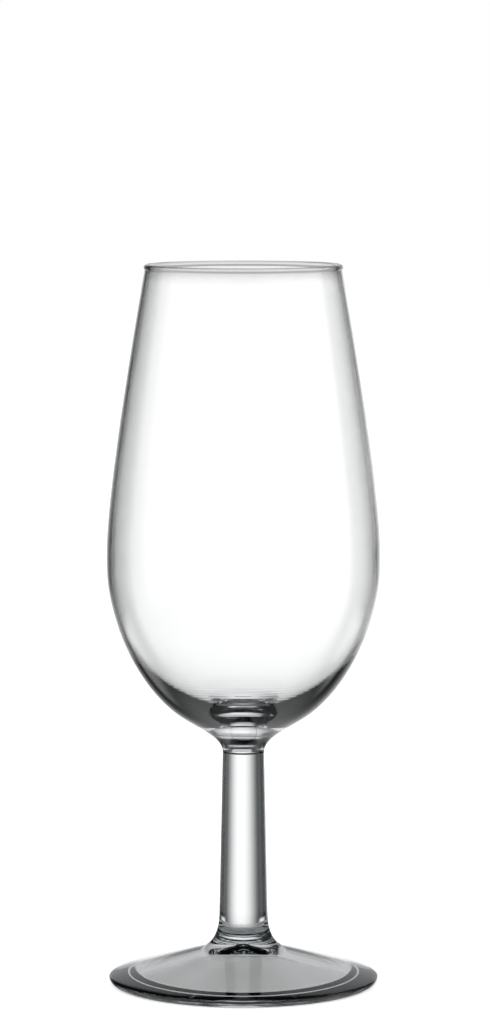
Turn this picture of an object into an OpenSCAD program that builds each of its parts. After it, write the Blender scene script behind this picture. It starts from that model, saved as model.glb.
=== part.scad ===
// Stemmed sherry glass: a tulip bowl, a drawn stem and a round foot, fused end to end.
// The origin is in the middle of the rest face under the foot, with +Z up the axis.

/* [Whole glass] */
// Height from the rest face to the top of the rim
height = 142.7; // [130:0.1:180]
// Height of the weld between the bowl and the stem
bowl_weld_h = 46.2; // [40:0.1:50]

/* [Rim] */
// Outside diameter of the rim over its bead
rim_d = 39.2; // [34:0.1:44]
// Thickness of the fire-finished bead round the rim
bead_d = 1.24; // [1.1:0.02:2]
// Thickness of the wall where it runs into the bead
rim_wall = 0.9; // [0.6:0.05:1]
// Angle by which the wall opens out below the rim, from the vertical
rim_lean = 9.8; // [4:0.1:14]

/* [Bowl] */
// Outside diameter of the bowl at its widest
bowl_d = 54; // [50:0.1:60]
// Height of the widest place of the bowl
widest_h = 83.7; // [76:0.1:92]
// Thickness of the wall at the widest place
bowl_wall = 1.1; // [0.8:0.05:2]
// Thickness of solid glass between the weld and the inside of the bowl
bowl_floor = 7.7; // [6:0.1:10]
// Diameter of the nearly level floor inside the bowl
floor_d = 14.8; // [12:0.1:18]
// Rise of that floor from its middle to its edge
floor_dish = 0.3; // [0:0.05:0.6]
// Slope of the side where it meets that floor, from the horizontal
side_slope = 20; // [16:0.5:34]

/* [Neck under the bowl] */
// Outside diameter where the round of the bowl turns into the neck
turn_d = 25.2; // [20:0.1:30]
// Height of that place above the weld
turn_rise = 7.3; // [6:0.1:10]
// Slope of the glass at that place, from the horizontal
turn_slope = 34.5; // [28:0.5:42]

/* [Stem] */
// Diameter of the stem at the weld to the bowl
stem_top_d = 8.26; // [6:0.02:11]
// Diameter of the stem where it starts to spread into the foot
stem_low_d = 9.64; // [7:0.02:12]
// Height of the place where the stem starts to spread
stem_low_h = 13.8; // [12:0.1:18]

/* [Foot] */
// Diameter of the foot
foot_d = 53.4; // [46:0.1:62]
// Height of the widest place of the foot's edge
edge_h = 1.36; // [1:0.02:2]
// Width of the low band between the crease and the edge
band_w = 4.8; // [3.5:0.1:6]
// Height of the crease at the inner side of that band
crease_h = 3; // [2.4:0.05:4]
// Distance by which the round under the stem spreads past the stem
spread_w = 4.7; // [3:0.1:6]
// Height of the foot's top where that round ends
spread_h = 6.55; // [5:0.05:8]
// Width of the rounding between the edge and the rest ring
edge_round_w = 1.5; // [1:0.1:3]
// Width of the flat ring that the glass stands on
rest_ring_w = 2.8; // [1:0.1:3.5]
// Width of the round shoulder between the rest ring and the roof of the hollow
shoulder_w = 2.4; // [1:0.1:3]
// Height of that roof at the inner side of the shoulder
shoulder_h = 0.45; // [0.3:0.05:1]
// Slope of the roof of the hollow, from the horizontal
roof_slope = 17.5; // [12:0.5:19]
// Diameter of the round in the middle of the roof
roof_round_d = 3.2; // [2:0.1:8]
// Rise of that round
roof_round_h = 0.65; // [0.3:0.05:1]

/* [Hidden] */

// Facets round the axis, and steps along each curve
round_steps = 180;
curve_steps = 24;

// How far each curve holds the line of its end, as a share of the rise or run that it bridges
rim_pull_share = 0.81;
widest_pull_up_share = 0.07;
widest_pull_down_share = 0.36;
turn_pull_up_share = 0.34;
turn_pull_down_share = 0.57;
weld_pull_share = 0.41;
inside_pull_down_share = 0.4;
side_pull_share = 0.48;
floor_pull_share = 0.35;
stem_pull_share = 0.75;
spread_pull_share = 0.45;
band_pull_share = 0.2;
edge_top_pull_share = 0.25;
edge_low_pull_share = 0.75;
rest_pull_share = 0.35;
shoulder_wall_share = 0.6;
shoulder_edge_share = 0.15;
shoulder_roof_share = 0.5;
roof_pull_share = 0.5;
roof_middle_share = 0.45;

// Share of the round under the stem that belongs to the stem
foot_weld_share = 0.3;

rim_r = rim_d/2;
bead_r = bead_d/2;
bowl_r = bowl_d/2;
stem_top_r = stem_top_d/2;
stem_low_r = stem_low_d/2;
foot_r = foot_d/2;

// Middle of the bead's round section, and where the wall's two faces meet it
bead_mid = [rim_r - bead_r, height - bead_r];
bead_angle = acos(rim_wall/2/bead_r);
wall_top_h = bead_mid.y - bead_r*sin(bead_angle);
wall_out = [bead_mid.x + rim_wall/2, wall_top_h];
wall_in = [bead_mid.x - rim_wall/2, wall_top_h];
rim_dir = [sin(rim_lean), -cos(rim_lean)];
wall_rise = wall_top_h - widest_h;

// Outside of the bowl: its widest place, its turn into the neck and the weld
widest = [bowl_r, widest_h];
turn_h = bowl_weld_h + turn_rise;
turn = [turn_d/2, turn_h];
turn_dir = [-cos(turn_slope), -sin(turn_slope)];
belly_rise = widest_h - turn_h;
weld_top = [stem_top_r, bowl_weld_h];

// Inside of the bowl
widest_in = [bowl_r - bowl_wall, widest_h];
floor_h = bowl_weld_h + bowl_floor;
floor_mid = [0, floor_h];
floor_edge = [floor_d/2, floor_h + floor_dish];
side_dir = [cos(side_slope), sin(side_slope)];
inside_drop = widest_h - floor_edge.y;

// Round between the stem and the foot, from the stem's lower end to the foot's cone
stem_low = [stem_low_r, stem_low_h];
spread = [stem_low_r + spread_w, spread_h];
crease = [foot_r - band_w, crease_h];
stem_line = stem_low - weld_top;
stem_dir = stem_line/norm(stem_line);
cone_line = crease - spread;
cone_dir = cone_line/norm(cone_line);
spread_drop = stem_low_h - spread_h;
stem_pull = stem_low + stem_dir*spread_drop*stem_pull_share;
spread_pull = spread - cone_dir*spread_w*spread_pull_share;

// Edge, rest ring, shoulder and roof of the hollow of the foot
edge = [foot_r, edge_h];
rest_out = [foot_r - edge_round_w, 0];
rest_in = [rest_out.x - rest_ring_w, 0];
shoulder = [rest_in.x - shoulder_w, shoulder_h];
roof_dir = [-cos(roof_slope), sin(roof_slope)];
roof_rise = (shoulder.x - roof_round_d/2)*tan(roof_slope);
roof_round = [roof_round_d/2, shoulder_h + roof_rise];
roof_mid = [0, roof_round.y + roof_round_h];

// Point at share t of a cubic curve from a to d, drawn towards b and c
function curve_point(a, b, c, d, t) =
    a*pow(1 - t, 3) + b*3*pow(1 - t, 2)*t + c*3*(1 - t)*t*t + d*pow(t, 3);

// Points of such a curve between two shares, without the last one
function curve(a, b, c, d, from = 0, to = 1) =
    [for (i = [0:curve_steps - 1]) curve_point(a, b, c, d, from + (to - from)*i/curve_steps)];

// Points of the round between the stem and the foot, between two shares of it
function spread_curve(from, to) = curve(stem_low, stem_pull, spread_pull, spread, from, to);

weld_low = curve_point(stem_low, stem_pull, spread_pull, spread, foot_weld_share);

// Outside of the bowl, from the weld up to the bead
function bowl_outside() = concat(
    curve(weld_top,
          weld_top + [0, turn_rise*weld_pull_share],
          turn + turn_dir*turn_rise*turn_pull_down_share,
          turn),
    curve(turn,
          turn - turn_dir*belly_rise*turn_pull_up_share,
          widest - [0, belly_rise*widest_pull_down_share],
          widest),
    curve(widest,
          widest + [0, wall_rise*widest_pull_up_share],
          wall_out + rim_dir*wall_rise*rim_pull_share,
          wall_out));

// Round of the bead, from the outer face of the wall over the top to the inner face
function bead() =
    [for (i = [0:curve_steps])
        let (turned = -bead_angle + (180 + 2*bead_angle)*i/curve_steps)
        bead_mid + bead_r*[cos(turned), sin(turned)]];

// Inside of the bowl, from below the bead down to the middle of its floor
function bowl_inside() = concat(
    curve(wall_in,
          wall_in + rim_dir*wall_rise*rim_pull_share,
          widest_in + [0, wall_rise*widest_pull_up_share],
          widest_in),
    curve(widest_in,
          widest_in - [0, inside_drop*inside_pull_down_share],
          floor_edge + side_dir*inside_drop*side_pull_share,
          floor_edge),
    curve(floor_edge,
          floor_edge - [floor_edge.x*floor_pull_share, floor_dish],
          floor_mid + [floor_edge.x*floor_pull_share, 0],
          floor_mid),
    [floor_mid]);

module bowl() {
    color("aliceblue", 0.4)
    rotate_extrude($fn = round_steps)
        polygon(concat([[0, bowl_weld_h]], bowl_outside(), bead(), bowl_inside()));
}

module stem() {
    color("lightsteelblue", 0.5)
    rotate_extrude($fn = round_steps)
        polygon(concat(
            [[0, bowl_weld_h], weld_top],
            spread_curve(0, foot_weld_share),
            [weld_low, [0, weld_low.y]]));
}

module foot() {
    color("lightcyan", 0.4)
    rotate_extrude($fn = round_steps)
        polygon(concat(
            [[0, weld_low.y]],
            spread_curve(foot_weld_share, 1),
            [spread],
            curve(crease,
                  crease + cone_dir*band_w*band_pull_share,
                  edge + [0, (crease_h - edge_h)*edge_top_pull_share],
                  edge),
            curve(edge,
                  edge - [0, edge_h*edge_low_pull_share],
                  rest_out + [edge_round_w*rest_pull_share, 0],
                  rest_out),
            [rest_out],
            curve(rest_in,
                  rest_in + [-shoulder_w*shoulder_edge_share, shoulder_h*shoulder_wall_share],
                  shoulder - roof_dir*shoulder_w*shoulder_roof_share,
                  shoulder),
            [shoulder],
            curve(roof_round,
                  roof_round + roof_dir*roof_round.x*roof_pull_share,
                  roof_mid + [roof_round.x*roof_middle_share, 0],
                  roof_mid),
            [roof_mid]));
}

bowl();
stem();
foot();
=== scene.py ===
"""Stemmed sherry glass: the finish of its bowl, stem and foot, and the studio it stands in."""

import math

import bpy
from bpy.props import FloatProperty, FloatVectorProperty, IntProperty, PointerProperty
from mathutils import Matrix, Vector


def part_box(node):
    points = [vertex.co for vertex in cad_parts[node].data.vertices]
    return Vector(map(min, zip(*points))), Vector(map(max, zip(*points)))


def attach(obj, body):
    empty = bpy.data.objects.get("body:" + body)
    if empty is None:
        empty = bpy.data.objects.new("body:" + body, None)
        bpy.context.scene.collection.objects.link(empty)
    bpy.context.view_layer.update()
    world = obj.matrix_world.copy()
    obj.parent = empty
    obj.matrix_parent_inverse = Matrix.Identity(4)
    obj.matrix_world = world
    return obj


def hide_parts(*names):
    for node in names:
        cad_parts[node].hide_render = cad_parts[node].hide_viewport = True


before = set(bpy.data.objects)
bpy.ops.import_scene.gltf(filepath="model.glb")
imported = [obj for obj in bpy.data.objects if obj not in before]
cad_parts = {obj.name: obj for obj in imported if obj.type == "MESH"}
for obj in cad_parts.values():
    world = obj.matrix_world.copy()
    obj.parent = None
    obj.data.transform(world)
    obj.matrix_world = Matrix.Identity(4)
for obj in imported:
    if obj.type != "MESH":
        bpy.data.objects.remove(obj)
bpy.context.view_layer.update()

bl_info = {
    "name": "Sherry Glass",
    "version": (1, 0, 0),
    "blender": (4, 5, 0),
    "location": "3D View > Sidebar > Glass",
    "description": "A stemmed sherry glass with a tulip bowl, and a pale studio to see it in",
    "category": "Object",
}

BOWL_LOW, BOWL_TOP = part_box("bowl")
STEM_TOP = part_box("stem")[1]
FOOT_LOW, FOOT_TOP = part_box("foot")
BODY = "root"
MM = 0.001

# Steps along the flat ring under the foot
RING_STEPS = 4
# Points nearer than this are one point, which closes the seam and the ends of a turned mesh
MERGE_GAP = 0.0001*MM
# Radius inside which the waves fade out towards the axis
CALM_R = 4*MM
# Edges with a greater angle between their faces are shaded sharp
SHARP_ANGLE = math.radians(35)
# A face lies in a weld when the share of its marked points is above this
WELD_FACE = 0.99

# Streaks in the skin for each metre along X, Y and Z
STREAKS = (220, 220, 40)
# Specks of dust for each metre, the level of their noise that shows, and how rough they are
SPECKS = 900
SPECK_LEVEL = 0.62
SPECK_ROUGHNESS = 0.12
# Strength of the cords that the streaks raise in the skin, and their height
CORD_STRENGTH = 0.02
CORD_HEIGHT = 0.2*MM

# Long side of the camera's sensor in millimetres
SENSOR = 36
# How far the floor lies under the rest ring, so that their faces don't meet
FLOOR_GAP = 0.02*MM
# The soft parts of the studio, named by the value with their light. Each step runs from dark to
# lit, in degrees, either to the side of the card's middle or in tilt, from the level up.
STUDIO_PARTS = {
    "table_light": (("tilt", -28, -69),),
    "card_light": (("side", 36, 2), ("tilt", -75, -5), ("tilt", 4, -0.5)),
    "wall_light": (("side", 23, 17), ("tilt", -0.5, 4), ("tilt", 50, 40)),
    "room_light": (("side", 65, 80), ("side", 164, 150), ("tilt", 22, 6), ("tilt", -69, -28)),
    "camera_side_light": (("side", 150, 164), ("tilt", 22, 6), ("tilt", -69, -28)),
    "flank_light": (("side", 32, 42), ("side", 64, 50), ("tilt", -44, -32), ("tilt", -15, -20)),
    "dim_light": (),
}


def length(name, default, description):
    """A size in metres that a user can change."""
    return FloatProperty(
        name=name, description=description, default=default, min=0, unit="LENGTH", precision=5
    )


def angle(name, degrees, description):
    """An angle that a user can change."""
    return FloatProperty(
        name=name, description=description, default=math.radians(degrees), min=0, subtype="ANGLE"
    )


def share(name, default, description):
    """A pull of a curve, as a share of the rise or run that it bridges."""
    return FloatProperty(name=name, description=description, default=default, min=0, max=1)


def light(name, default, description):
    """A strength of light in red, green and blue."""
    return FloatVectorProperty(
        name=name, description=description, default=default, size=3, min=0, max=2, subtype="COLOR"
    )


def colour(name, default, description):
    """A colour that a user can change."""
    return FloatVectorProperty(
        name=name, description=description, default=(*default, 1), size=4, min=0, max=1,
        subtype="COLOR",
    )


def amount(name, default, description):
    """A plain number that a user can change."""
    return FloatProperty(name=name, description=description, default=default, min=0)


class BowlShape(bpy.types.PropertyGroup):
    height: length("Height", BOWL_TOP.z, "Height of the top of the rim")
    weld_h: length("Weld height", BOWL_LOW.z, "Height of the weld to the stem")
    weld_d: length("Weld diameter", 8.26*MM, "Diameter of the glass at that weld")
    rim_d: length("Rim diameter", 39.2*MM, "Outside diameter over the bead")
    bead_d: length("Bead thickness", 1.24*MM, "Thickness of the bead round the rim")
    rim_wall: length("Rim wall", 0.9*MM, "Thickness of the wall below the bead")
    rim_lean: angle("Rim lean", 9.8, "Angle of the wall below the rim, from the vertical")
    bowl_d: length("Bowl diameter", BOWL_TOP.x - BOWL_LOW.x, "Outside diameter at the widest")
    widest_h: length("Widest height", 83.7*MM, "Height of the widest place")
    wall: length("Wall", 1.1*MM, "Thickness of the wall at the widest place")
    floor: length("Floor", 7.7*MM, "Solid glass between the weld and the inside")
    floor_d: length("Floor diameter", 14.8*MM, "Diameter of the nearly level floor inside")
    floor_dish: length("Floor dish", 0.3*MM, "Rise of that floor to its edge")
    side_slope: angle("Side slope", 20, "Slope of the inside at that edge, from the horizontal")
    turn_d: length("Turn diameter", 25.2*MM, "Diameter where the bowl turns into the neck")
    turn_rise: length("Turn rise", 7.3*MM, "Height of that place above the weld")
    turn_slope: angle("Turn slope", 34.5, "Slope of the glass there, from the horizontal")
    rim_pull: share("Rim pull", 0.81, "How far the wall keeps the rim's lean")
    widest_pull_up: share("Pull above the widest", 0.07, "How far the wall rises upright there")
    widest_pull_down: share("Pull below the widest", 0.36, "How far the belly drops upright")
    turn_pull_up: share("Pull above the turn", 0.34, "How far the belly keeps the turn's slope")
    turn_pull_down: share("Pull below the turn", 0.57, "How far the neck keeps that slope")
    weld_pull: share("Pull at the weld", 0.41, "How far the neck rises upright")
    inside_pull: share("Inside pull", 0.4, "How far the inside drops upright")
    side_pull: share("Side pull", 0.48, "How far the inside keeps its side slope")
    floor_pull: share("Floor pull", 0.35, "How far the floor keeps level")


class StemShape(bpy.types.PropertyGroup):
    top_h: length("Top height", STEM_TOP.z, "Height of the weld to the bowl")
    top_d: length("Top diameter", 8.26*MM, "Diameter at that weld")
    low_d: length("Low diameter", 9.64*MM, "Diameter where the stem starts to spread")
    low_h: length("Low height", 13.8*MM, "Height of that place")
    spread_w: length("Spread", 4.7*MM, "How far the round under the stem spreads")
    spread_h: length("Spread height", 6.55*MM, "Height of the foot where that round ends")
    stem_pull: share("Stem pull", 0.75, "How far the round keeps the stem's line")
    spread_pull: share("Spread pull", 0.45, "How far the round keeps the foot's slope")
    weld_share: share("Foot weld", 0.3, "Share of the round that belongs to the stem")


class FootShape(bpy.types.PropertyGroup):
    diameter: length("Diameter", FOOT_TOP.x - FOOT_LOW.x, "Diameter of the foot")
    edge_h: length("Edge height", 1.36*MM, "Height of the widest place of the edge")
    band_w: length("Band width", 4.8*MM, "Width of the low band outside the crease")
    crease_h: length("Crease height", 3*MM, "Height of the crease")
    edge_round_w: length("Edge rounding", 1.5*MM, "Width of the rounding under the edge")
    rest_ring_w: length("Rest ring", 2.8*MM, "Width of the flat ring that the glass stands on")
    shoulder_w: length("Shoulder width", 2.4*MM, "Width of the round inside the rest ring")
    shoulder_h: length("Shoulder height", 0.45*MM, "Height of the hollow's roof at that round")
    roof_slope: angle("Roof slope", 17.5, "Slope of the hollow's roof, from the horizontal")
    roof_round_d: length("Roof round", 3.2*MM, "Diameter of the round in the roof's middle")
    roof_round_h: length("Roof round height", 0.65*MM, "Rise of that round")
    band_pull: share("Band pull", 0.2, "How far the band keeps the cone's slope")
    edge_pull_up: share("Pull above the edge", 0.25, "How far the edge rises upright")
    edge_pull_down: share("Pull below the edge", 0.75, "How far the edge drops upright")
    rest_pull: share("Rest pull", 0.35, "How far the rounding lies level")
    shoulder_wall: share("Shoulder wall", 0.6, "How steeply the shoulder starts")
    shoulder_edge: share("Shoulder edge", 0.15, "How narrowly the shoulder starts")
    shoulder_roof: share("Shoulder roof", 0.5, "How far the shoulder keeps the roof's slope")
    roof_pull: share("Roof pull", 0.5, "How far the roof's round keeps that slope")
    roof_middle: share("Roof middle", 0.45, "How much of that round is level")


class GlassFinish(bpy.types.PropertyGroup):
    tint: colour("Tint", (1, 1, 1), "Colour that passes the glass's skin")
    streak_tint: colour("Streak tint", (0.985, 0.985, 0.98), "Colour that passes its streaks")
    # Painted shade: a darker colour on the top of the rim stands in for the dark upper edge of the
    # bright card behind the glass, seen through the bead. It fades out downwards over the fade
    # height.
    painted_rim_shade: colour("Painted rim shade", (0.7, 0.7, 0.69), "Colour that passes the top of the rim")
    painted_rim_shade_fade: length("Rim fade", 4*MM, "Height over which the rim's tint fades out downwards")
    body_colour: colour("Body colour", (0.83, 0.85, 0.86), "Colour of thick glass")
    body_density: amount("Body density", 50, "How strongly thick glass takes that colour")
    refraction: FloatProperty(
        name="Refraction", description="Refractive index of the glass", default=1.52, min=1, max=2
    )
    wave: length("Waves", 0.05*MM, "Height of the faint waves in the blown skin")
    wave_size: length("Wave size", 9*MM, "Distance from one wave to the next")
    round_steps: IntProperty(
        name="Round steps", description="Facets round the axis", default=256, min=12
    )
    curve_steps: IntProperty(
        name="Curve steps", description="Steps along each curve", default=52, min=4
    )


class Studio(bpy.types.PropertyGroup):
    camera_back: length("Camera distance", 891.2*MM, "From the axis to the camera, level")
    camera_side: length("Camera side", 0.3*MM, "How far the camera stands to the right")
    camera_h: length("Camera height", 178.7*MM, "Height of the camera over the rest face")
    camera_tilt: angle("Camera tilt", 5.435, "How far the camera looks down")
    focal: FloatProperty(
        name="Focal length", description="Focal length in millimetres", default=159.72, min=1
    )
    turn: angle("Card turn", 4, "How far the middle of the bright card lies to the right")
    floor_d: length("Floor size", 6.0, "Width of the floor")
    backdrop_colour: colour("Backdrop", (1, 1, 1), "Colour of the floor and the backdrop")
    table_light: light("Table light", (1.14, 1.15, 1.16), "Light off the table, steeply down")
    card_light: light("Card light", (1.15, 1.15, 1.15), "Light of the card behind the glass")
    wall_light: light("Wall light", (0.55, 0.56, 0.57), "Light of the wall above that card")
    room_light: light("Room light", (0.87, 0.87, 0.86), "Light of the room at the sides")
    camera_side_light: light("Camera side light", (0.72, 0.72, 0.71), "Light behind the camera")
    flank_light: light("Flank light", (0.9, 0.9, 0.9), "Light of the table's far corners")
    dim_light: light("Dim light", (0.022, 0.026, 0.03), "Light of everything else")
    floor_light: amount("Floor light", 0.8, "Strength of the plain light on the floor")
    floor_lift: amount("Floor lift", 0.3, "Light that brings the floor up to the backdrop")
    lamp_power: amount("Lamp power", 6, "Power of each soft lamp in watts")
    lamp_size: length("Lamp size", 0.8, "Width of each square lamp")
    lamp_side: length("Lamp side", 0.9, "How far each lamp stands to its side")
    lamp_front: length("Lamp front", 0.5, "How far each lamp stands towards the camera")
    lamp_h: length("Lamp height", 1.1, "Height of each lamp over the rest face")


PROPERTY_GROUPS = {
    "glass_bowl": BowlShape,
    "glass_stem": StemShape,
    "glass_foot": FootShape,
    "glass_finish": GlassFinish,
    "glass_studio": Studio,
}


def curve(a, b, c, d, steps, start=0.0, stop=1.0):
    """Points of a cubic curve from a to d, drawn towards b and c, without the last one."""
    shares = [start + (stop - start)*i/steps for i in range(steps)]
    return [a*(1 - t)**3 + b*3*(1 - t)**2*t + c*3*(1 - t)*t*t + d*t**3 for t in shares]


def straight(a, b, steps):
    """Points of a straight line from a to b, without the last one."""
    return curve(a, a.lerp(b, 1/3), a.lerp(b, 2/3), b, steps)


def spread_ends(stem, foot):
    """The four points of the round between the stem and the foot's cone."""
    top = Vector((stem.top_d/2, stem.top_h))
    low = Vector((stem.low_d/2, stem.low_h))
    spread = Vector((low.x + stem.spread_w, stem.spread_h))
    crease = Vector((foot.diameter/2 - foot.band_w, foot.crease_h))
    stem_pull = low + (low - top).normalized()*(low.y - spread.y)*stem.stem_pull
    spread_pull = spread - (crease - spread).normalized()*stem.spread_w*stem.spread_pull
    return low, stem_pull, spread_pull, spread


def bowl_outline(shape, steps):
    """The bowl's outline: its weld face, and its skin up, over the bead and down the inside."""
    bead_r = shape.bead_d/2
    bead = Vector((shape.rim_d/2 - bead_r, shape.height - bead_r))
    bead_angle = math.acos(shape.rim_wall/2/bead_r)
    wall_top = bead.y - bead_r*math.sin(bead_angle)
    wall_out = Vector((bead.x + shape.rim_wall/2, wall_top))
    wall_in = Vector((bead.x - shape.rim_wall/2, wall_top))
    lean = Vector((math.sin(shape.rim_lean), -math.cos(shape.rim_lean)))
    rise = wall_top - shape.widest_h
    weld = Vector((shape.weld_d/2, shape.weld_h))
    turn = Vector((shape.turn_d/2, shape.weld_h + shape.turn_rise))
    slope = Vector((-math.cos(shape.turn_slope), -math.sin(shape.turn_slope)))
    widest = Vector((shape.bowl_d/2, shape.widest_h))
    widest_in = Vector((widest.x - shape.wall, widest.y))
    belly = widest.y - turn.y
    floor = Vector((0, shape.weld_h + shape.floor))
    floor_edge = Vector((shape.floor_d/2, floor.y + shape.floor_dish))
    side = Vector((math.cos(shape.side_slope), math.sin(shape.side_slope)))
    level = Vector((floor_edge.x*shape.floor_pull, 0))
    drop = widest.y - floor_edge.y
    up = Vector((0, 1))
    outside = [
        *curve(
            weld,
            weld + up*shape.turn_rise*shape.weld_pull,
            turn + slope*shape.turn_rise*shape.turn_pull_down,
            turn,
            steps,
        ),
        *curve(
            turn,
            turn - slope*belly*shape.turn_pull_up,
            widest - up*belly*shape.widest_pull_down,
            widest,
            steps,
        ),
        *curve(
            widest,
            widest + up*rise*shape.widest_pull_up,
            wall_out + lean*rise*shape.rim_pull,
            wall_out,
            steps,
        ),
    ]
    turned = [-bead_angle + (math.pi + 2*bead_angle)*i/steps for i in range(steps)]
    rim = [bead + bead_r*Vector((math.cos(a), math.sin(a))) for a in turned]
    inside = [
        *curve(
            wall_in,
            wall_in + lean*rise*shape.rim_pull,
            widest_in + up*rise*shape.widest_pull_up,
            widest_in,
            steps,
        ),
        *curve(
            widest_in,
            widest_in - up*drop*shape.inside_pull,
            floor_edge + side*drop*shape.side_pull,
            floor_edge,
            steps,
        ),
        *curve(
            floor_edge, floor_edge - level - up*shape.floor_dish, floor + level, floor, steps//2
        ),
        floor,
    ]
    return [Vector((0, weld.y))], outside + rim + inside, []


def stem_outline(stem, foot, steps):
    """The stem's outline between its two weld faces."""
    ends = spread_ends(stem, foot)
    top = Vector((stem.top_d/2, stem.top_h))
    taper = straight(top, ends[0], steps)
    low = curve(*ends, steps, 0, stem.weld_share)
    weld = curve(*ends, 1, stem.weld_share)[0]
    skin = (taper + low + [weld])[::-1]
    return [Vector((0, weld.y))], skin, [Vector((0, top.y))]


def foot_outline(stem, foot, steps):
    """The foot's outline from the middle of its hollow, round the edge and up to the weld."""
    ends = spread_ends(stem, foot)
    spread = ends[-1]
    crease = Vector((foot.diameter/2 - foot.band_w, foot.crease_h))
    cone = (crease - spread).normalized()
    edge = Vector((foot.diameter/2, foot.edge_h))
    rest_out = Vector((edge.x - foot.edge_round_w, 0))
    rest_in = Vector((rest_out.x - foot.rest_ring_w, 0))
    shoulder = Vector((rest_in.x - foot.shoulder_w, foot.shoulder_h))
    shoulder_start = Vector((-foot.shoulder_w*foot.shoulder_edge, shoulder.y*foot.shoulder_wall))
    roof = Vector((-math.cos(foot.roof_slope), math.sin(foot.roof_slope)))
    roof_run = shoulder.x - foot.roof_round_d/2
    roof_round = shoulder + Vector((-roof_run, roof_run*math.tan(foot.roof_slope)))
    middle = Vector((0, roof_round.y + foot.roof_round_h))
    up = Vector((0, 1))
    skin = [
        *curve(*ends, steps, stem.weld_share),
        *straight(spread, crease, steps//2),
        *curve(
            crease,
            crease + cone*foot.band_w*foot.band_pull,
            edge + up*(crease.y - edge.y)*foot.edge_pull_up,
            edge,
            steps,
        ),
        *curve(
            edge,
            edge - up*edge.y*foot.edge_pull_down,
            rest_out + Vector((foot.edge_round_w*foot.rest_pull, 0)),
            rest_out,
            steps,
        ),
        *straight(rest_out, rest_in, RING_STEPS),
        *curve(
            rest_in,
            rest_in + shoulder_start,
            shoulder - roof*foot.shoulder_w*foot.shoulder_roof,
            shoulder,
            steps,
        ),
        *straight(shoulder, roof_round, steps//2),
        *curve(
            roof_round,
            roof_round + roof*roof_round.x*foot.roof_pull,
            middle + Vector((roof_round.x*foot.roof_middle, 0)),
            middle,
            steps//2,
        ),
        middle,
    ]
    return [], skin[::-1], [Vector((0, skin[0].y))]


def outline_mesh(name, low_face, skin, top_face):
    """A mesh of one line through an outline, with the points of its weld faces marked."""
    rows = [*low_face, *skin, *top_face]
    mesh = bpy.data.meshes.new(name)
    edges = [(i, i + 1) for i in range(len(rows) - 1)]
    mesh.from_pydata([(p.x, 0, p.y) for p in rows], edges, [])
    capped = [0.0]*len(rows)
    if low_face:
        capped[0] = capped[1] = 1.0
    if top_face:
        capped[-1] = capped[-2] = 1.0
    mesh.attributes.new("weld", "FLOAT", "POINT").data.foreach_set("value", capped)
    return mesh


class Tree:
    """A short way to add nodes to a tree and to link them."""

    def __init__(self, tree):
        self.tree = tree

    def add(self, kind, settings=(), **links):
        """A node of that kind, fed by the names of its sockets, with _ for a blank."""
        node = self.tree.nodes.new(kind)
        for key, value in dict(settings).items():
            setattr(node, key, value)
        for key, source in links.items():
            self.feed(node.inputs[key.replace("_", " ")], source)
        return node

    def feed(self, socket, source):
        """Link a socket to a source, or set its value."""
        if isinstance(source, bpy.types.NodeSocket):
            self.tree.links.new(source, socket)
        else:
            socket.default_value = source

    def math(self, operation, *values, clamp=False):
        """The result of a Math node."""
        node = self.tree.nodes.new("ShaderNodeMath")
        node.operation, node.use_clamp = operation, clamp
        for socket, source in zip(node.inputs, values):
            self.feed(socket, source)
        return node.outputs[0]

    def vector(self, operation, *values):
        """The result of a Vector Math node."""
        node = self.add("ShaderNodeVectorMath", {"operation": operation})
        for socket, source in zip(node.inputs, values):
            self.feed(socket, source)
        return node.outputs[0]

    def scaled(self, vector, factor):
        """A vector times a number."""
        node = self.add("ShaderNodeVectorMath", {"operation": "SCALE"}, Vector=vector, Scale=factor)
        return node.outputs[0]

    def blended(self, factor, first, second):
        """The first colour at 0 and the second one at 1, by the colour sockets of a Mix node."""
        node = self.add("ShaderNodeMix", {"data_type": "RGBA"}, Factor=factor)
        self.feed(node.inputs[6], first)
        self.feed(node.inputs[7], second)
        return node.outputs[2]

    def shaders(self, factor, first, second):
        """The first shader at 0 and the second one at 1."""
        node = self.add("ShaderNodeMixShader", Fac=factor)
        self.feed(node.inputs[1], first)
        self.feed(node.inputs[2], second)
        return node.outputs[0]

    def soft_step(self, value, low, high):
        """A soft step from 0 at low to 1 at high. Low may be the greater one."""
        node = self.add(
            "ShaderNodeMapRange", {"interpolation_type": "SMOOTHSTEP"},
            Value=value, From_Min=low, From_Max=high,
        )
        return node.outputs[0]


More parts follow.
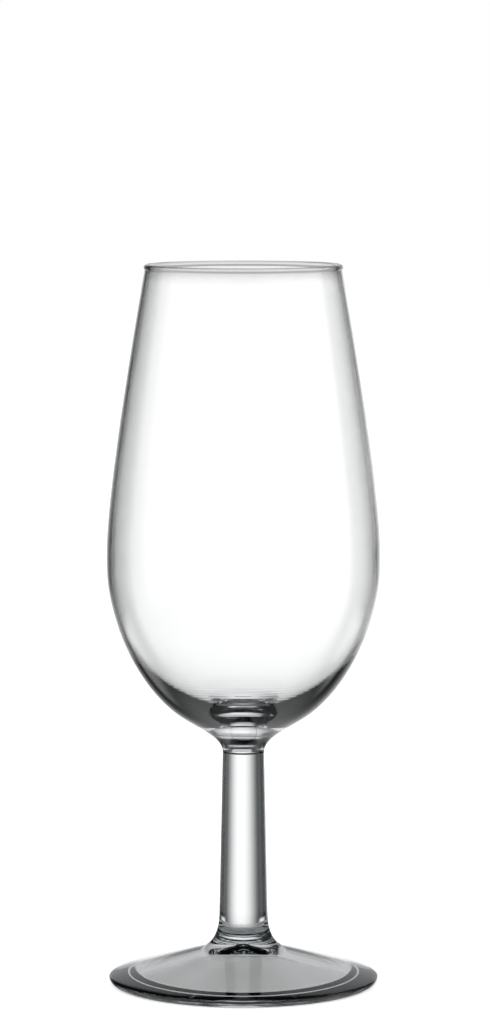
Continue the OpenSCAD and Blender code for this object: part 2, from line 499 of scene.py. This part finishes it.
def lathe_tree():
    """Geometry nodes that turn an outline round the Z axis, with faint waves in its skin."""
    tree = bpy.data.node_groups.new("Lathe", "GeometryNodeTree")
    face = tree.interface
    face.new_socket("Geometry", in_out="OUTPUT", socket_type="NodeSocketGeometry")
    face.new_socket("Outline", in_out="INPUT", socket_type="NodeSocketGeometry")
    for name, kind in (
        ("Round Steps", "NodeSocketInt"),
        ("Wave", "NodeSocketFloat"),
        ("Wave Size", "NodeSocketFloat"),
        ("Wave Seed", "NodeSocketFloat"),
        ("Glass", "NodeSocketMaterial"),
        ("Weld", "NodeSocketMaterial"),
    ):
        face.new_socket(name, in_out="INPUT", socket_type=kind)
    t = Tree(tree)
    given = t.add("NodeGroupInput").outputs
    points = t.add(
        "GeometryNodeAttributeDomainSize", {"component": "MESH"}, Geometry=given["Outline"]
    )
    columns = t.math("ADD", given["Round Steps"], 1)
    grid = t.add(
        "GeometryNodeMeshGrid", Vertices_X=points.outputs["Point Count"], Vertices_Y=columns
    )
    index = t.add("GeometryNodeInputIndex").outputs[0]
    # The half keeps the division clear of the whole numbers, where rounding could drop a row
    row = t.math("FLOOR", t.math("DIVIDE", t.math("ADD", index, 0.5), columns))
    column = t.math("SUBTRACT", index, t.math("MULTIPLY", row, columns))
    turned_by = t.math("DIVIDE", t.math("MULTIPLY", column, math.tau), given["Round Steps"])

    def sampled(value, kind):
        """A value at the point of the outline that each row of the grid stands for."""
        node = t.add(
            "GeometryNodeSampleIndex", {"data_type": kind, "domain": "POINT", "clamp": True},
            Geometry=given["Outline"], Index=row,
        )
        t.feed(node.inputs["Value"], value)
        return node.outputs["Value"]

    place = t.add("ShaderNodeSeparateXYZ", Vector=sampled(
        t.add("GeometryNodeInputPosition").outputs[0], "FLOAT_VECTOR"))
    weld_name = t.add("GeometryNodeInputNamedAttribute", {"data_type": "FLOAT"}, Name="weld")
    weld = sampled(weld_name.outputs["Attribute"], "FLOAT")
    radius, height = place.outputs["X"], place.outputs["Z"]
    around = t.add(
        "ShaderNodeCombineXYZ", X=t.math("COSINE", turned_by), Y=t.math("SINE", turned_by)
    ).outputs[0]
    level = t.add("ShaderNodeCombineXYZ", Z=height).outputs[0]
    spot = t.vector("ADD", t.scaled(around, radius), level)
    noise = t.add(
        "ShaderNodeTexNoise", {"noise_dimensions": "4D"}, Vector=spot,
        W=given["Wave Seed"], Scale=t.math("DIVIDE", 1, given["Wave Size"]), Detail=1,
    )
    lift = t.math("MULTIPLY", t.math("SUBTRACT", noise.outputs["Fac"], 0.5), given["Wave"])
    lift = t.math("MULTIPLY", lift, t.math("SUBTRACT", 1, weld))
    lift = t.math("MULTIPLY", lift, t.math("MINIMUM", t.math("DIVIDE", radius, CALM_R), 1))
    lifts = t.add("ShaderNodeCombineXYZ", X=lift, Y=lift, Z=lift).outputs[0]
    waved = t.vector("MULTIPLY_ADD", around, lifts, spot)
    held = t.add(
        "GeometryNodeStoreNamedAttribute", {"data_type": "FLOAT", "domain": "POINT"},
        Geometry=grid.outputs["Mesh"], Name="weld", Value=weld,
    )
    turned = t.add("GeometryNodeSetPosition", Geometry=held.outputs["Geometry"], Position=waved)
    merged = t.add(
        "GeometryNodeMergeByDistance", Geometry=turned.outputs[0], Distance=MERGE_GAP
    )
    outward = t.add("GeometryNodeFlipFaces", Mesh=merged.outputs[0])
    edges = t.add("GeometryNodeInputMeshEdgeAngle")
    round_edges = t.math("LESS_THAN", edges.outputs["Unsigned Angle"], SHARP_ANGLE)
    smooth = t.add("GeometryNodeSetShadeSmooth", {"domain": "EDGE"}, Geometry=outward.outputs[0])
    t.feed(smooth.inputs["Shade Smooth"], round_edges)
    real = t.add("GeometryNodeRealizeInstances", Geometry=smooth.outputs[0])
    glazed = t.add("GeometryNodeSetMaterial", Geometry=real.outputs[0], Material=given["Glass"])
    on_face = t.add("GeometryNodeFieldOnDomain", {"data_type": "FLOAT", "domain": "FACE"})
    own_weld = t.add("GeometryNodeInputNamedAttribute", {"data_type": "FLOAT"}, Name="weld")
    t.feed(on_face.inputs[0], own_weld.outputs["Attribute"])
    welded = t.add(
        "GeometryNodeSetMaterial", Geometry=glazed.outputs[0], Material=given["Weld"],
        Selection=t.math("GREATER_THAN", on_face.outputs[0], WELD_FACE),
    )
    t.add("NodeGroupOutput", Geometry=welded.outputs[0])
    return tree


def turned_piece(name, outline, finish, seed):
    """A closed piece of glass turned from its outline, as a plain mesh that replaces its node."""
    tree = bpy.data.node_groups.get("Lathe") or lathe_tree()
    line = bpy.data.objects.new(name + "_outline", outline_mesh(name + "_outline", *outline))
    bpy.context.scene.collection.objects.link(line)
    lathe = line.modifiers.new("Lathe", "NODES")
    lathe.node_group = tree
    sockets = {
        item.name: item.identifier
        for item in tree.interface.items_tree
        if item.item_type == "SOCKET" and item.in_out == "INPUT"
    }
    for key, value in {
        "Round Steps": finish.round_steps,
        "Wave": finish.wave,
        "Wave Size": finish.wave_size,
        "Wave Seed": float(seed),
        "Glass": clear_glass(finish),
        "Weld": weld_glass(finish),
    }.items():
        lathe[sockets[key]] = value
    graph = bpy.context.evaluated_depsgraph_get()
    mesh = bpy.data.meshes.new_from_object(line.evaluated_get(graph), depsgraph=graph)
    mesh.name = name + "_glass"
    # The grid's own empty slot comes first
    if mesh.materials[0] is None:
        mesh.materials.pop(index=0)
    bpy.data.objects.remove(line)
    piece = bpy.data.objects.new(name + "_glass", mesh)
    bpy.context.scene.collection.objects.link(piece)
    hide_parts(name)
    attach(piece, BODY)
    return piece


def new_material(name):
    """An empty material, and the tree to build it in."""
    material = bpy.data.materials.new(name)
    material.use_nodes = True
    material.node_tree.nodes.clear()
    return material, Tree(material.node_tree)


def glass_skin():
    """A group with the streaks, dust and cords in the skin of blown glass, and painted shade along
    the top of the rim.
    """
    group = bpy.data.node_groups.get("Glass Skin")
    if group:
        return group
    group = bpy.data.node_groups.new("Glass Skin", "ShaderNodeTree")
    face = group.interface
    face.new_socket("Clear", in_out="INPUT", socket_type="NodeSocketColor")
    face.new_socket("Streak", in_out="INPUT", socket_type="NodeSocketColor")
    face.new_socket("Rim", in_out="INPUT", socket_type="NodeSocketColor")
    face.new_socket("Rim Fade", in_out="INPUT", socket_type="NodeSocketFloat")
    face.new_socket("Tint", in_out="OUTPUT", socket_type="NodeSocketColor")
    face.new_socket("Roughness", in_out="OUTPUT", socket_type="NodeSocketFloat")
    face.new_socket("Cords", in_out="OUTPUT", socket_type="NodeSocketFloat")
    t = Tree(group)
    given = t.add("NodeGroupInput").outputs
    where = t.add("ShaderNodeTexCoord").outputs["Object"]
    drawn = t.add("ShaderNodeMapping", Vector=where, Scale=STREAKS)
    streaks = t.add("ShaderNodeTexNoise", Vector=drawn.outputs[0], Scale=1.0, Detail=2.0)
    dust = t.add("ShaderNodeTexNoise", Vector=where, Scale=SPECKS, Detail=3.0)
    streaked = t.blended(streaks.outputs["Fac"], given["Clear"], given["Streak"])
    height = t.add("ShaderNodeSeparateXYZ", Vector=where).outputs["Z"]
    # Painted shade: the colour turns darker towards the top of the rim and fades out downwards.
    painted_rim_shade_low = t.math("SUBTRACT", BOWL_TOP.z, given["Rim Fade"])
    tint = t.blended(t.soft_step(height, painted_rim_shade_low, BOWL_TOP.z), streaked, given["Rim"])
    specks = t.math("SUBTRACT", dust.outputs["Fac"], SPECK_LEVEL, clamp=True)
    rough = t.math("MULTIPLY", specks, SPECK_ROUGHNESS)
    t.add("NodeGroupOutput", Tint=tint, Roughness=rough, Cords=streaks.outputs["Fac"])
    return group


def glass_body(t, finish):
    """The colour of thick glass, the same in every piece."""
    return t.add(
        "ShaderNodeVolumeAbsorption", Color=finish.body_colour, Density=finish.body_density
    )


def clear_glass(finish):
    """The fire-polished clear glass of all three pieces."""
    name = "Clear glass"
    if name in bpy.data.materials:
        return bpy.data.materials[name]
    material, t = new_material(name)
    skin = t.add("ShaderNodeGroup", {"node_tree": glass_skin()})
    t.feed(skin.inputs["Clear"], finish.tint)
    t.feed(skin.inputs["Streak"], finish.streak_tint)
    # The rim's colour is painted shade at the top of the bead
    t.feed(skin.inputs["Rim"], finish.painted_rim_shade)
    t.feed(skin.inputs["Rim Fade"], finish.painted_rim_shade_fade)
    bump = t.add(
        "ShaderNodeBump", Strength=CORD_STRENGTH, Distance=CORD_HEIGHT, Height=skin.outputs["Cords"]
    )
    surface = t.add(
        "ShaderNodeBsdfPrincipled",
        Base_Color=skin.outputs["Tint"],
        Roughness=skin.outputs["Roughness"],
        IOR=finish.refraction,
        Transmission_Weight=1.0,
        Normal=bump.outputs[0],
    )
    t.add(
        "ShaderNodeOutputMaterial",
        Surface=surface.outputs[0],
        Volume=glass_body(t, finish).outputs[0],
    )
    return material


def weld_glass(finish):
    """The face where two pieces are fused, which light passes as if it weren't there."""
    name = "Weld"
    if name in bpy.data.materials:
        return bpy.data.materials[name]
    material, t = new_material(name)
    surface = t.add("ShaderNodeBsdfTransparent")
    t.add(
        "ShaderNodeOutputMaterial",
        Surface=surface.outputs[0],
        Volume=glass_body(t, finish).outputs[0],
    )
    return material


class GLASS_OT_bowl(bpy.types.Operator):
    """Turn the blown bowl with its beaded rim"""

    bl_idname = "glass.bowl"
    bl_label = "Bowl"

    def execute(self, context):
        scene = context.scene
        finish = scene.glass_finish
        outline = bowl_outline(scene.glass_bowl, finish.curve_steps)
        turned_piece("bowl", outline, finish, seed=1)
        return {"FINISHED"}


class GLASS_OT_stem(bpy.types.Operator):
    """Turn the drawn stem"""

    bl_idname = "glass.stem"
    bl_label = "Stem"

    def execute(self, context):
        scene = context.scene
        finish = scene.glass_finish
        outline = stem_outline(scene.glass_stem, scene.glass_foot, finish.curve_steps)
        turned_piece("stem", outline, finish, seed=2)
        return {"FINISHED"}


class GLASS_OT_foot(bpy.types.Operator):
    """Turn the pressed foot"""

    bl_idname = "glass.foot"
    bl_label = "Foot"

    def execute(self, context):
        scene = context.scene
        finish = scene.glass_finish
        outline = foot_outline(scene.glass_stem, scene.glass_foot, finish.curve_steps)
        turned_piece("foot", outline, finish, seed=3)
        return {"FINISHED"}


def add_camera(studio):
    """The photo's camera, which looks a little down."""
    data = bpy.data.cameras.new("Camera")
    data.lens = studio.focal
    data.sensor_width = SENSOR
    camera = bpy.data.objects.new("Camera", data)
    camera.location = (studio.camera_side, -studio.camera_back, studio.camera_h)
    camera.rotation_euler = (math.pi/2 - studio.camera_tilt, 0, 0)
    bpy.context.scene.collection.objects.link(camera)
    bpy.context.scene.camera = camera


def past_glass(t, path):
    """1 for a ray that has just left glass or been thrown back by it, and 0 for others."""
    return t.math("MAXIMUM", path["Is Glossy Ray"], path["Is Transmission Ray"])


def studio_light(t, studio):
    """What the glass sees of the studio: the sum of its soft parts."""
    way = t.add("ShaderNodeSeparateXYZ", Vector=t.add("ShaderNodeTexCoord").outputs["Generated"])
    side = t.math("ARCTAN2", way.outputs["X"], way.outputs["Y"])
    side = t.math("ABSOLUTE", t.math("SUBTRACT", side, studio.turn))
    side = t.math("MINIMUM", side, t.math("SUBTRACT", math.tau, side))
    angles = {
        "side": t.math("DEGREES", side),
        "tilt": t.math("DEGREES", t.math("ARCSINE", way.outputs["Z"])),
    }
    total = (0, 0, 0)
    for name, steps in STUDIO_PARTS.items():
        strength = 1.0
        for kind, dark, lit in steps:
            strength = t.math("MULTIPLY", strength, t.soft_step(angles[kind], dark, lit))
        total = t.vector("ADD", total, t.scaled(getattr(studio, name), strength))
    return total


def studio_world(studio):
    """The backdrop for the camera, plain light for the floor, and what the glass sees."""
    world = bpy.data.worlds.new("Studio")
    world.use_nodes = True
    world.node_tree.nodes.clear()
    t = Tree(world.node_tree)
    path = t.add("ShaderNodeLightPath").outputs
    seen = t.add("ShaderNodeBackground", Color=studio.backdrop_colour, Strength=1.0)
    plain = t.add("ShaderNodeBackground", Color=(1, 1, 1, 1), Strength=studio.floor_light)
    parts = t.add("ShaderNodeBackground", Color=studio_light(t, studio), Strength=1.0)
    # A ray that the floor has scattered carries the floor's light, so it gets the plain light
    unscattered = t.math("LESS_THAN", path["Diffuse Depth"], 0.5)
    by_glass = t.math("MULTIPLY", past_glass(t, path), unscattered)
    lit = t.shaders(by_glass, plain.outputs[0], parts.outputs[0])
    shown = t.shaders(path["Is Camera Ray"], lit, seen.outputs[0])
    t.add("ShaderNodeOutputWorld", Surface=shown)
    return world


def floor_material(studio):
    """A pale matt floor. Away from the foot, the glass sees the studio instead of it."""
    material, t = new_material("Pale floor")
    path = t.add("ShaderNodeLightPath").outputs
    matt = t.add(
        "ShaderNodeBsdfPrincipled", Base_Color=studio.backdrop_colour, Roughness=0.9
    ).outputs[0]
    lift = t.add("ShaderNodeEmission", Color=studio.backdrop_colour, Strength=studio.floor_lift)
    lifted = t.add("ShaderNodeAddShader")
    t.feed(lifted.inputs[0], matt)
    t.feed(lifted.inputs[1], lift.outputs[0])
    shown = t.shaders(path["Is Camera Ray"], matt, lifted.outputs[0])
    where = t.add("ShaderNodeSeparateXYZ", Vector=t.add("ShaderNodeTexCoord").outputs["Object"])
    away = t.add("ShaderNodeCombineXYZ", X=where.outputs["X"], Y=where.outputs["Y"])
    radius = t.add("ShaderNodeVectorMath", {"operation": "LENGTH"}, Vector=away.outputs[0])
    beyond = t.math("GREATER_THAN", radius.outputs["Value"], FOOT_TOP.x)
    open_floor = t.add("ShaderNodeBsdfTransparent").outputs[0]
    hidden = t.math("MULTIPLY", beyond, past_glass(t, path))
    t.add("ShaderNodeOutputMaterial", Surface=t.shaders(hidden, shown, open_floor))
    return material


def add_floor(studio):
    """The floor that the glass stands on."""
    half = studio.floor_d/2
    mesh = bpy.data.meshes.new("floor")
    corners = [(-half, -half), (half, -half), (half, half), (-half, half)]
    mesh.from_pydata([(x, y, -FLOOR_GAP) for x, y in corners], [], [(0, 1, 2, 3)])
    mesh.materials.append(floor_material(studio))
    floor = bpy.data.objects.new("floor", mesh)
    bpy.context.scene.collection.objects.link(floor)


def add_lamp(name, place, size, power):
    """A square soft lamp that faces the glass and lights the floor."""
    data = bpy.data.lights.new(name, "AREA")
    data.energy, data.size = power, size
    lamp = bpy.data.objects.new(name, data)
    lamp.location = place
    lamp.rotation_euler = (-Vector(place)).to_track_quat("-Z", "Y").to_euler()
    lamp.visible_glossy = lamp.visible_transmission = lamp.visible_camera = False
    bpy.context.scene.collection.objects.link(lamp)


class GLASS_OT_stage(bpy.types.Operator):
    """Set up the camera, the floor, the lamps and the backdrop"""

    bl_idname = "glass.stage"
    bl_label = "Studio"

    def execute(self, context):
        scene = context.scene
        studio = scene.glass_studio
        add_camera(studio)
        add_floor(studio)
        for name, side in (("lamp_left", -studio.lamp_side), ("lamp_right", studio.lamp_side)):
            place = (side, -studio.lamp_front, studio.lamp_h)
            add_lamp(name, place, studio.lamp_size, studio.lamp_power)
        scene.world = studio_world(studio)
        scene.view_settings.view_transform = "Standard"
        return {"FINISHED"}


PANEL_BOXES = (
    (GLASS_OT_bowl, ("glass_bowl", "glass_finish")),
    (GLASS_OT_stem, ("glass_stem",)),
    (GLASS_OT_foot, ("glass_foot",)),
    (GLASS_OT_stage, ("glass_studio",)),
)
OPERATORS = tuple(operator for operator, names in PANEL_BOXES)


class GLASS_PT_panel(bpy.types.Panel):
    """A box in the sidebar for each piece and for the studio"""

    bl_label = "Sherry Glass"
    bl_idname = "GLASS_PT_panel"
    bl_space_type = "VIEW_3D"
    bl_region_type = "UI"
    bl_category = "Glass"

    def draw(self, context):
        for operator, names in PANEL_BOXES:
            box = self.layout.box()
            box.operator(operator.bl_idname)
            for name in names:
                group = getattr(context.scene, name)
                for key in group.__annotations__:
                    box.prop(group, key)


def register():
    """Add the panel, the operators and the values to Blender."""
    for kind in (*PROPERTY_GROUPS.values(), *OPERATORS, GLASS_PT_panel):
        bpy.utils.register_class(kind)
    for name, kind in PROPERTY_GROUPS.items():
        setattr(bpy.types.Scene, name, PointerProperty(type=kind))


def unregister():
    """Take them out again."""
    for name in PROPERTY_GROUPS:
        delattr(bpy.types.Scene, name)
    for kind in reversed((*PROPERTY_GROUPS.values(), *OPERATORS, GLASS_PT_panel)):
        bpy.utils.unregister_class(kind)


def main():
    """Build the glass and its studio."""
    register()
    bpy.ops.glass.bowl()
    bpy.ops.glass.stem()
    bpy.ops.glass.foot()
    bpy.ops.glass.stage()


if __name__ == "__main__":
    main()
